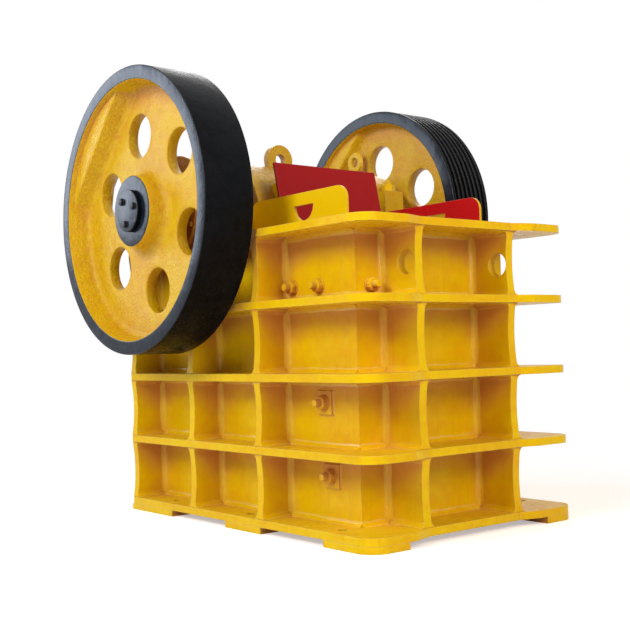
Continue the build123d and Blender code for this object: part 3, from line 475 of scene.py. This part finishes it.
def threaded(place, axis, radius, length, pitch=0.006, steps=20):
    """A bolt end: a thread of ridges a pitch apart along its length, and a chamfered tip."""
    count = max(int(length / pitch), 1)
    ridge = np.arange(count)[:, None] * pitch + np.array((0.0, 0.3, 0.5, 0.8)) * pitch
    depth = np.tile((0.0, 0.0, 0.0014, 0.0014), (count, 1))
    along = np.concatenate(([0.0], ridge.ravel(), [length - 0.003, length, length]))
    across = np.concatenate(([0.0], radius - depth.ravel(),
                             [radius - 0.0005, radius - 0.0035, 0.0]))
    order = np.argsort(along, kind="stable")
    return turned(np.stack((along[order], across[order]), axis=1), place, axis, steps)


def washer(place, axis, radius, thick, bore):
    """A flat ring with eased edges."""
    corners = ((0, bore, 0), (thick, bore, 0), (thick, radius, 0.001), (0, radius, 0.0005))
    return turned(eased(corners, 3), place, axis, steps=28)


def bolt_end(place, axis, sizes, spin):
    """A washer on place, the nut on it and the threaded end through both, along axis."""
    outside, thick, hole, flats, height, bore, start, radius, length = sizes
    place, axis = np.asarray(place, float), np.asarray(axis, float)
    return [(washer(place, axis, outside, thick, hole), 0),
            (hexagon(place + thick * axis, axis, flats, height, bore, spin), 0),
            (threaded(place + start * axis, axis, radius, length), 0)]


def web_sectors(side, radius, first_turn, ring_in, ring_out):
    """A wheel's web between two circles, as six sectors of 60 degrees with a hole in each.

    Each sector is a grid of rays from its hole's centre: the point at ray angle u and row v lies
    between the hole's edge, r = hole radius, and the ray's end on the sector's outline. Strips of
    the same points lie under the hub's and the rim's edges, so the meshes close there.
    """
    hole, far = radius * HOLE_SHARE, radius * HOLE_CIRCLE_SHARE
    half = math.radians(30)
    corners = [math.atan2(r * math.sin(half), r * math.cos(half) - far)
               for r in (ring_in, ring_out)]
    rays = np.concatenate((np.linspace(-math.pi, math.pi, 97), corners, np.negative(corners)))
    rays = np.unique(np.round(rays, 9))
    c, s = np.cos(rays), np.sin(rays)
    with np.errstate(all="ignore"):
        outer = -far * c + np.sqrt(ring_out**2 - far**2 * s**2)
        inner = np.where(c < 0, -far * c - np.sqrt(ring_in**2 - far**2 * s**2), np.nan)
        tan = math.tan(half)
        above = far * tan / (s - c * tan)
        below = far * tan / (-s - c * tan)
    reach = np.stack([np.where(np.isfinite(d) & (d > 0), d, np.inf)
                      for d in (outer, inner, above, below)])
    ends, which = reach.min(axis=0), reach.argmin(axis=0)
    on_rim, on_hub = (np.flatnonzero(which == number) for number in (0, 1))
    on_rim = np.concatenate(([on_rim[0] - 1], on_rim, [on_rim[-1] + 1]))
    on_hub = np.concatenate((on_hub[rays[on_hub] > 0], on_hub[rays[on_hub] < 0]))
    # Each row's place along the shaft, its share of the way to the outline, and its distance from
    # the hole's edge, which is rounded over on both faces
    ease = 0.012
    front = [(WEB_FRONT, 1.0, 0.0), (WEB_FRONT, 0.4, 0.0), (WEB_FRONT, 0.0, ease),
             (WEB_FRONT - ease * 0.3, 0.0, ease * 0.3), (WEB_FRONT - ease, 0.0, 0.0)]
    back = [(WEB_FRONT + WEB_BACK - x, share, off) for x, share, off in reversed(front)]
    rows = np.array(front + back)
    distance = (hole + rows[:, 2:3]) * (1 - rows[:, 1:2]) + ends[None] * rows[:, 1:2]
    local = np.stack((far + distance * c, distance * s), axis=-1)
    grids = []
    for number in range(6):
        turn = math.radians(180 - first_turn + 60 * number)
        y = local[..., 0] * math.cos(turn) - local[..., 1] * math.sin(turn)
        z = local[..., 0] * math.sin(turn) + local[..., 1] * math.cos(turn)
        x = np.broadcast_to(rows[:, :1], y.shape) * side
        points = np.stack((x, y + SHAFT_Y, z + SHAFT_Z), axis=-1)
        grids.append((points, 0))
        for run in (on_rim, on_hub):
            grids.append((points[[0, -1]][:, run], 0))
    return grids


def balance_segment(side, radius, rest, face):
    """A balance weight cast against web and rim: a chord wall with a hollow foot, and a face.

    rest and face are where the web and the weight's own face lie along the shaft.
    """
    chord = radius * BALANCE_SHARE
    # The arc runs inside the rim's metal, and the chord stops just short of it
    sink, stop = 0.011, 0.9995
    arc = radius - RIM_THICK + sink
    half_chord = math.sqrt(arc**2 - chord**2)
    t = np.linspace(-1, 1, 61)[:, None] * stop
    room = np.sqrt(arc**2 - (t * half_chord) ** 2) - chord
    # The wall's section: the share of its height, and the distance beyond the chord
    wall = np.array([(-0.03, -0.004), (-0.03, -0.036), (0.02, -0.024), (0.07, -0.014),
                     (0.15, -0.005), (0.30, 0.003), (0.80, 0.020), (0.93, 0.026), (0.985, 0.034),
                     (1.0, 0.046)])
    rise = face - rest
    shift = np.minimum(wall[:, 1], room)
    lift = np.broadcast_to(rest + wall[:, 0] * rise, shift.shape)
    shift = np.hstack((shift, room, room, shift[:, :1]))
    lift = np.hstack((lift, np.full_like(room, face), np.full_like(room, rest - 0.05 * rise),
                      lift[:, :1]))
    turn = math.radians(BALANCE_TURN)
    n = np.array((math.cos(turn), math.sin(turn)))
    flat = (chord + shift)[..., None] * n + (t * half_chord)[..., None] * np.array((-n[1], n[0]))
    points = np.stack((lift * side, flat[..., 0] + SHAFT_Y, flat[..., 1] + SHAFT_Z), axis=-1)
    middle = points.mean(axis=1, keepdims=True)
    low, high = (np.repeat(end, points.shape[1], 1) for end in (middle[:1], middle[-1:]))
    return np.concatenate((low, points, high))


def build_wheel(side, radius, first_turn, tread, boss=None):
    """A cast wheel on one end of the shaft: hub and rim turned round the axis, web and weights.

    tread is the profile of the grooves across the tread, and boss the y and z of a cored hole.
    """
    centre = (0.0, SHAFT_Y, SHAFT_Z)
    axis, across = (side, 0.0, 0.0), (0.0, 1.0, 0.0)
    rim_in = radius - RIM_THICK
    rim_foot = rim_in - RIM_DRAFT
    hub_foot = HUB_RADIUS + RIM_DRAFT
    # Rim and hub end in a lip that is sunk 3 mm into the web, and the web laps over the lip
    sink, hub_lap, rim_lap = 0.003, 0.017, 0.022
    ring_in, ring_out = hub_foot + 0.060, rim_foot - 0.050
    # Setbacks of the edges: the rim's inner and outer ones, the grooves' and the hub's
    inner_edge, outer_edge, groove_edge, hub_edge = 0.006, 0.005, 0.0015, 0.009
    rim = [(WEB_FRONT - sink, ring_out, 0), (WEB_FRONT, rim_foot - WEB_FILLET, 0),
           (WEB_FRONT, rim_foot, WEB_FILLET), (WHEEL_OUT, rim_in, inner_edge),
           (WHEEL_OUT, radius, outer_edge)]
    rim += [(a, r, groove_edge) for a, r in tread]
    rim += [(WHEEL_IN, radius, outer_edge), (WHEEL_IN, rim_in, inner_edge),
            (WEB_BACK, rim_foot, WEB_FILLET), (WEB_BACK, rim_foot - WEB_FILLET, 0),
            (WEB_BACK + sink, ring_out, 0)]
    hub = ((WEB_FRONT - sink, ring_in, 0), (WEB_FRONT, hub_foot + HUB_FILLET, 0),
           (WEB_FRONT, hub_foot, HUB_FILLET), (HUB_FACE, HUB_RADIUS, hub_edge),
           (HUB_FACE, HUB_BORE, 0), (HUB_BACK, HUB_BORE, 0), (HUB_BACK, HUB_RADIUS, hub_edge),
           (WEB_BACK, hub_foot, WEB_FILLET), (WEB_BACK, hub_foot + WEB_FILLET, 0),
           (WEB_BACK + sink, ring_in, 0))
    # The paints meet in the middle of the corners round the machined faces, and at the bore
    steps = 5
    face = 3 * steps + steps // 2
    bore = 5 * steps - 1
    tread_end = face + steps * (2 + len(tread))
    rim_parts = ((0, face, 0), (face, face + steps, 1), (face + steps, tread_end, 2),
                 (tread_end, tread_end + steps, 1), (tread_end + steps, None, 0))
    hub_parts = ((0, face, 0), (face, bore, 1), (bore, None, 0))
    grids = []
    for corners, parts, count in ((rim, rim_parts, 256), (hub, hub_parts, 128)):
        profile = eased(corners, steps)
        for low, high, paint in parts:
            part = profile[low:high + 1 if high else None]
            grids.append((turned(part, centre, axis, count, across), paint))
    grids += web_sectors(side, radius, first_turn, ring_in - hub_lap, ring_out + rim_lap)
    inner_face = WHEEL_IN + BALANCE_DEPTH
    for rest, height in ((WEB_FRONT, WHEEL_OUT - BALANCE_DEPTH), (WEB_BACK, inner_face)):
        grids.append((balance_segment(side, radius, rest, height), 0))
    if boss is not None:
        # A raised ring round a cored hole, on the inner segment's face
        foot, top = inner_face + 0.004, inner_face - 0.014
        lip = ((foot, 0.029, 0), (foot, 0.074, 0), (top, 0.066, 0.006), (top, 0.034, 0.006))
        grids.append((turned(eased(lip), (0.0, *boss), axis, 48, across), 0))
    return grids


def build_wheels():
    """The flywheel on the left and the grooved pulley on the right, for the CAD's plain wheels."""
    paints = (YELLOW_CAST, BLUE_FACE, BLACK_TREAD)
    flywheel = build_wheel(-1.0, FLYWHEEL_RADIUS, FLYWHEEL_TURN, [])
    flywheel = piece("flywheel_casting", flywheel, paints, "rotor", sharp=30)
    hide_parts("flywheel")
    tread = []
    for number in range(GROOVES):
        middle = (WHEEL_IN + WHEEL_OUT) / 2 + GROOVE_PITCH * (GROOVES // 2 - number)
        tread += [(middle + GROOVE_HALF, PULLEY_RADIUS), (middle + GROOVE_FLOOR_HALF, GROOVE_FLOOR),
                  (middle - GROOVE_FLOOR_HALF, GROOVE_FLOOR), (middle - GROOVE_HALF, PULLEY_RADIUS)]
    pulley = build_wheel(1.0, PULLEY_RADIUS, PULLEY_TURN, tread, (CORED_HOLE_Y, CORED_HOLE_Z))
    pulley = piece("pulley_casting", pulley, paints, "rotor", sharp=30)
    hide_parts("pulley")


def build_end_plates():
    """Eased discs on the shaft's ends, each held by three hexagon bolts with washers."""
    discs, bolts = [], []
    steps = 4
    face = HUB_FACE + END_PLATE_THICK
    profile = eased(((HUB_FACE, 0.0, 0), (HUB_FACE, END_PLATE_RADIUS, 0.001),
                     (face, END_PLATE_RADIUS, 0.004), (face, 0.0, 0)), steps, False)
    # The black edge meets the blue face in the middle of the outer corner
    edge_end = 2 * steps + steps // 2
    turns = np.radians(180 - END_BOLT_TURN + 120 * np.arange(3))
    thick = 0.002
    for side in (-1.0, 1.0):
        axis = (side, 0.0, 0.0)
        for part, paint in ((profile[:edge_end + 1], 1), (profile[edge_end:], 0)):
            discs.append((turned(part, (0.0, SHAFT_Y, SHAFT_Z), axis, 96), paint))
        for y, z in zip(SHAFT_Y + END_BOLT_CIRCLE * np.cos(turns),
                        SHAFT_Z + END_BOLT_CIRCLE * np.sin(turns)):
            ring = washer((side * face, y, z), axis, radius=0.0225, thick=thick, bore=0.010)
            head = hexagon((side * (face + thick), y, z), axis, flats=0.036, height=0.012,
                           spin=y * 9)
            bolts += [(ring, 0), (head, 0)]
    plates = piece("shaft_end_discs", discs, (BLUE_FACE, BLACK_TREAD), "rotor")
    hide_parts("end_plates")
    piece("shaft_end_bolts", bolts, (BLACK_OXIDE,), "rotor")


def corner_runs(runs, radius, rows=9):
    """Concave fillets, one for each run (start, end, direction on a wall, direction on the other).

    The cross-section at angle t is r(1 - sin t) along the first wall and r(1 - cos t) up the
    second, closed through a point just inside the corner. The radius swells and shrinks a little
    along the run, as the sum of two sines of the distance, 200 and 76 mm long, and each end falls
    on one point. The second value is each grid's own UV map in metres.
    """
    starts, ends, first, second = (np.asarray(a, float)[:, None, None, :] for a in zip(*runs))
    share = np.concatenate(([0], np.linspace(0, 1, rows), [1]))[None, :, None, None]
    shut = np.concatenate(([0], np.ones(rows), [0]))[None, :, None, None]
    spine = starts + (ends - starts) * share
    distance = share * np.linalg.norm(ends - starts, axis=-1, keepdims=True)
    phase = (starts * (17.0, 29.0, 41.0)).sum(axis=-1, keepdims=True)
    swell = 1 + 0.07 * np.sin(distance * 31 + phase) + 0.05 * np.sin(distance * 83 + 2 * phase)
    t = np.linspace(0, math.pi / 2, 6)
    along = np.concatenate((1 - np.sin(t), [-0.06, 1.0]))[None, None, :, None]
    up = np.concatenate((1 - np.cos(t), [-0.06, 0.0]))[None, None, :, None]
    points = spine + shut * radius * swell * (along * first + up * second)
    around = np.linspace(0, 0.05, along.size)[None, None, :, None]
    coords = [np.broadcast_to(a, points.shape[:3] + (1,)) for a in (distance, around)]
    coords = np.concatenate(coords, axis=-1)
    return [(p, 0) for p in points], list(coords)


def bay_fillets(name, origin, u, out, spans, reach):
    """Fillets round the back of every bay of one side, and along its ribs at the flanges.

    origin is a point of the wall, u runs along the wall and out away from it. Each span gives a
    bay's two ends along u, and whether a rib stands at each. reach is the ribs' depth.
    """
    origin, u, out, up = (np.asarray(a, float) for a in (origin, u, out, (0, 0, 1)))
    runs = []
    for low, high, rib_low, rib_high in spans:
        for floor in FLANGE_TOPS[:-1]:
            a, b = (origin + u * p + up * floor for p in (low, high))
            c, d = (origin + u * p + up * (floor + BAY_HEIGHT) for p in (high, low))
            runs += [(a, b, up, out), (d, c, -up, out)]
            for foot, top, turn, present in ((a, d, u, rib_low), (b, c, -u, rib_high)):
                if present:
                    runs += [(foot, top, turn, out), (foot, foot + out * reach, turn, up),
                             (top, top + out * reach, turn, -up)]
    grids, coords = corner_runs(runs, BAY_FILLET)
    piece(name, grids, (YELLOW_BEAD,), "frame", sharp=50, uvs=coords)


def build_fillets():
    """Cast-in corners of all the bays, on both sides, the front and the rear."""
    rear, middle, front = SIDE_RIBS
    spans = [(middle + RIB_HALF, rear - RIB_HALF, True, True),
             (front + RIB_HALF, middle - RIB_HALF, True, True),
             (WALL_FRONT, front - RIB_HALF, False, True)]
    for name, side in (("left", -1.0), ("right", 1.0)):
        bay_fillets(f"{name}_bay_corners", (side * SIDE_OUT, 0, 0), (0, 1, 0), (side, 0, 0), spans,
                    SIDE_REACH)
    inner, outer = FRONT_RIB - RIB_HALF, FRONT_RIB + RIB_HALF
    for name, wall, out, half, reach in (("front", WALL_FRONT, -1, SIDE_OUT, FRONT_REACH),
                                         ("rear", WALL_REAR, 1, SIDE_IN, REAR_REACH)):
        spans = [(-half, -outer, False, True), (-inner, inner, True, True),
                 (outer, half, True, False)]
        bay_fillets(f"{name}_bay_corners", (0, wall, 0), (1, 0, 0), (0, out, 0), spans, reach)


def weld_round(centre, along, up, out, half_along, half_up):
    """The four runs of weld round a plate that stands on a wall, whose outward direction is out."""
    centre, along, up, out = (np.asarray(a, float) for a in (centre, along, up, out))
    runs = []
    for turn, size, cross, half in ((up, half_up, along, half_along),
                                    (along, half_along, up, half_up)):
        for outward in (turn, -turn):
            edge = centre + outward * size
            runs.append((edge - cross * half, edge + cross * half, outward, out))
    return runs


def build_welds():
    """Thin fillet welds at bolt plates, hopper feet, foot pads, bearing lugs and spring seat."""
    runs = []
    top = FLANGE_TOPS[-1]
    for side in (-1.0, 1.0):
        for y, z in PLATE_BOLTS:
            runs += weld_round((side * SIDE_OUT, y, z), (0, 1, 0), (0, 0, 1), (side, 0, 0),
                               BOLT_PLATE_HALF, BOLT_PLATE_HALF)
        runs += weld_round((side * HOPPER_X, HOPPER_Y, top), (0, 1, 0), (side, 0, 0), (0, 0, 1),
                           HOPPER_HALF_LONG, HOPPER_HALF_WIDE)
        edges = [(PAD_X, PAD_HALF, y, BASE_UNDER, turn, -1) for y, turn in PAD_EDGES]
        edges += [(LUG_X, LUG_HALF, y, top, turn, 1) for y, turn in LUG_EDGES]
        for x, half, y, z, turn, lift in edges:
            edge = np.array((side * x, y, z))
            runs.append((edge - (half, 0, 0), edge + (half, 0, 0), (0, turn, 0), (0, 0, lift)))
    runs += weld_round((0, WALL_REAR, ROD_Z), (1, 0, 0), (0, 0, 1), (0, 1, 0),
                       SPRING_PLATE_HALF, SPRING_PLATE_HALF)
    grids, coords = corner_runs(runs, WELD_FILLET, rows=15)
    piece("plate_welds", grids, (YELLOW_BEAD,), "frame", sharp=50, uvs=coords)


def build_bolts():
    """Bolt ends of the liners, the bearing caps and covers, and the tension rod's threaded end."""
    painted, covers = [], []
    turns = np.radians(22.5 + 45 * np.arange(8))
    for side in (-1.0, 1.0):
        axis = (side, 0.0, 0.0)
        for bolts, plate in ((WALL_BOLTS, 0.0), (PLATE_BOLTS, BOLT_PLATE_THICK)):
            for y, z in bolts:
                foot = (side * (SIDE_OUT + plate), y, z)
                painted += bolt_end(foot, axis, LINER_BOLT, spin=y * 7)
        painted += bolt_end((side * FRONT_BOLT_X, WALL_FRONT, FRONT_BOLT_Z), (0, -1, 0),
                            LINER_BOLT, spin=0.4)
        for y in (SHAFT_Y - LUG_Y, SHAFT_Y + LUG_Y):
            painted += bolt_end((side * LUG_X, y, LUG_TOP), (0, 0, 1), CAP_BOLT, spin=0.3)
        for y, z in zip(SHAFT_Y + COVER_BOLT_CIRCLE * np.cos(turns),
                        SHAFT_Z + COVER_BOLT_CIRCLE * np.sin(turns)):
            head = hexagon((side * HOUSING_END, y, z), axis, flats=0.030, height=0.013, spin=z * 5)
            covers.append((head, 0))
    piece("liner_bolt_ends", painted, (YELLOW_PLATE,), "frame")
    piece("bearing_cover_bolts", covers, (YELLOW_PLATE,), "frame")
    rod = threaded((0.0, NUT_FACE + 0.020, ROD_Z), (0, 1, 0), ROD_RADIUS, length=0.024,
                   pitch=0.004, steps=28)
    piece("tension_rod_thread", [(rod, 0)], (TURNED,), "swing_jaw_body")


def build_spring():
    """The tension spring: round wire on a helix, its end turns closed up flat.

    The wire's centre at turn t is (r cos t, y(t), r sin t), where y rises slowly at both ends, by
    end_rise over the share of the turns in end_share, and evenly between them.
    """
    turns, radius, wire, count = 5.0, 0.048, 0.0078, 161
    end_share, end_rise = 0.12, 0.010
    share = np.linspace(0, 1, count)
    rise = np.clip((share - end_share) / (1 - 2 * end_share), 0, 1)
    low, high = SPRING_FACE + wire + 0.0005, SPRING_FACE + SPRING_LENGTH - wire
    along = low + end_rise * np.minimum(share, end_share) / end_share
    along += (high - low - 2 * end_rise) * rise
    along += end_rise * np.clip(share - (1 - end_share), 0, 1) / end_share
    angle = share * turns * 2 * math.pi
    centre = np.stack((radius * np.cos(angle), along, ROD_Z + radius * np.sin(angle)), axis=-1)
    tangent = np.gradient(centre, axis=0)
    tangent /= np.linalg.norm(tangent, axis=1, keepdims=True)
    outward = np.stack((np.cos(angle), np.zeros_like(angle), np.sin(angle)), axis=-1)
    binormal = np.cross(tangent, outward)
    ring = whole_turn(12)
    shut = np.concatenate(([0], np.ones(count), [0]))[:, None, None]
    centre, outward, binormal = (np.concatenate((a[:1], a, a[-1:]))[:, None]
                                 for a in (centre, outward, binormal))
    section = np.cos(ring)[None, :, None] * outward + np.sin(ring)[None, :, None] * binormal
    points = centre + shut * wire * section
    coil = piece("tension_spring", [(points, 0)], (SPRING_WIRE,), "frame", sharp=60)
    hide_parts("spring")


def build_camera():
    """The camera fitted to the straight lines and wheels of the photograph, with square pixels."""
    yaw, pitch, roll = (math.radians(a) for a in (38.5686, 1.7253, -1.5797))
    place = (-3.97352, -4.76596, 0.9544)
    focal_pixels, picture_pixels, sensor = 1078.826, 630, 36
    ahead = Vector((math.sin(yaw) * math.cos(pitch), math.cos(yaw) * math.cos(pitch),
                    math.sin(pitch)))
    across = Vector((math.cos(yaw), -math.sin(yaw), 0))
    above = across.cross(ahead)
    right = across * math.cos(roll) + above * math.sin(roll)
    up = above * math.cos(roll) - across * math.sin(roll)
    camera = bpy.data.objects.new("camera", bpy.data.cameras.new("camera"))
    camera.data.lens = focal_pixels / picture_pixels * sensor
    camera.data.sensor_width = sensor
    camera.data.clip_end = 200
    turn = Matrix((right, up, -ahead)).transposed().to_4x4()
    camera.matrix_world = Matrix.Translation(place) @ turn
    bpy.context.scene.collection.objects.link(camera)
    bpy.context.scene.camera = camera


def plainly_seen(tree):
    """A mask that is 1 for camera, glossy and transmission rays, and 0 for all other rays."""
    rays = add(tree, "LightPath").outputs
    seen = add(tree, "Math", {0: rays["Is Camera Ray"], 1: rays["Is Glossy Ray"]},
               operation="MAXIMUM")
    seen = add(tree, "Math", {0: seen.outputs[0], 1: rays["Is Transmission Ray"]},
               operation="MAXIMUM")
    return seen.outputs[0]


def build_light():
    """A soft key high on the flywheel side, a lamp behind for the sheen, two fills and a sky."""
    middle = Vector((0, 0, 1.1))
    for name, place, size, watts, tint in (
        ("key", (-6.4, -0.8, 4.8), 2.6, 320, (1.0, 0.98, 0.94)),
        ("sheen", (-4.0, 6.0, 3.4), 2.6, 130, (0.74, 0.84, 1.0)),
        ("front_fill", (-1.0, -6.6, 4.4), 3.0, 290, (1.0, 0.88, 0.74)),
        ("back_fill", (4.5, 5.0, 5.0), 4.0, 130, (1.0, 1.0, 1.0)),
    ):
        lamp = bpy.data.objects.new(name, bpy.data.lights.new(name, "AREA"))
        lamp.data.size = size
        lamp.data.energy = watts
        lamp.data.color = tint
        lamp.location = place
        lamp.rotation_euler = (middle - Vector(place)).to_track_quat("-Z", "Y").to_euler()
        bpy.context.scene.collection.objects.link(lamp)
    world = bpy.data.worlds.new("studio")
    world.use_nodes = True
    tree = world.node_tree
    tree.nodes.clear()
    seen = plainly_seen(tree)
    # The sky that lights the machine is warm and weak, and the one behind it is white
    sky = add(tree, "Background", {"Color": (1.0, 0.89, 0.79, 1.0), "Strength": 0.27})
    backdrop = add(tree, "Background", {"Color": WHITE, "Strength": 1.0})
    mix = add(tree, "MixShader", {0: seen, 1: sky.outputs[0], 2: backdrop.outputs[0]})
    add(tree, "OutputWorld", {"Surface": mix.outputs[0]})
    bpy.context.scene.world = world


def build_floor():
    """A wide pale floor, which keeps the shadow near the feet and turns white beyond them."""
    half = 40.0
    mesh = bpy.data.meshes.new("floor")
    mesh.from_pydata([(-half, -half, 0), (half, -half, 0), (half, half, 0), (-half, half, 0)], [],
                     [(0, 1, 2, 3)])
    floor = bpy.data.objects.new("floor", mesh)
    bpy.context.scene.collection.objects.link(floor)
    # Sealed pale concrete: matt, with a drift of tone over half a metre
    material, tree, shader, where = blank("pale_sealed_concrete")
    drift = add(tree, "TexNoise", {"Vector": where, "Scale": 2.0, "Detail": 4.0})
    colour = add(tree, "Mix", {0: drift.outputs["Fac"], 6: linear("#EFEFED"),
                               7: linear("#F8F8F8")}, data_type="RGBA")
    tree.links.new(colour.outputs[2], shader.inputs["Base Color"])
    shader.inputs["Roughness"].default_value = 0.9
    # It turns white between 1.6 and 3.4 m from the machine's middle
    away = add(tree, "VectorMath", {0: where}, operation="LENGTH")
    far = add(tree, "MapRange", {"Value": away.outputs["Value"], "From Min": 1.6,
                                 "From Max": 3.4}, interpolation_type="SMOOTHSTEP")
    seen = plainly_seen(tree)
    glow = add(tree, "Emission", {"Color": WHITE, "Strength": 1.0})
    lift = add(tree, "Emission", {"Color": WHITE, "Strength": 0.42})
    near = add(tree, "AddShader", {0: shader.outputs[0], 1: lift.outputs[0]})
    shown = add(tree, "MixShader", {0: far.outputs[0], 1: near.outputs[0], 2: glow.outputs[0]})
    final = add(tree, "MixShader", {0: seen, 1: shader.outputs[0], 2: shown.outputs[0]})
    output = next(node for node in tree.nodes if node.bl_idname == "ShaderNodeOutputMaterial")
    tree.links.new(final.outputs[0], output.inputs["Surface"])
    mesh.materials.append(material)


build_wheels()
build_end_plates()
build_fillets()
build_welds()
build_bolts()
build_spring()
build_camera()
build_light()
build_floor()
bpy.context.scene.view_settings.view_transform = "Standard"
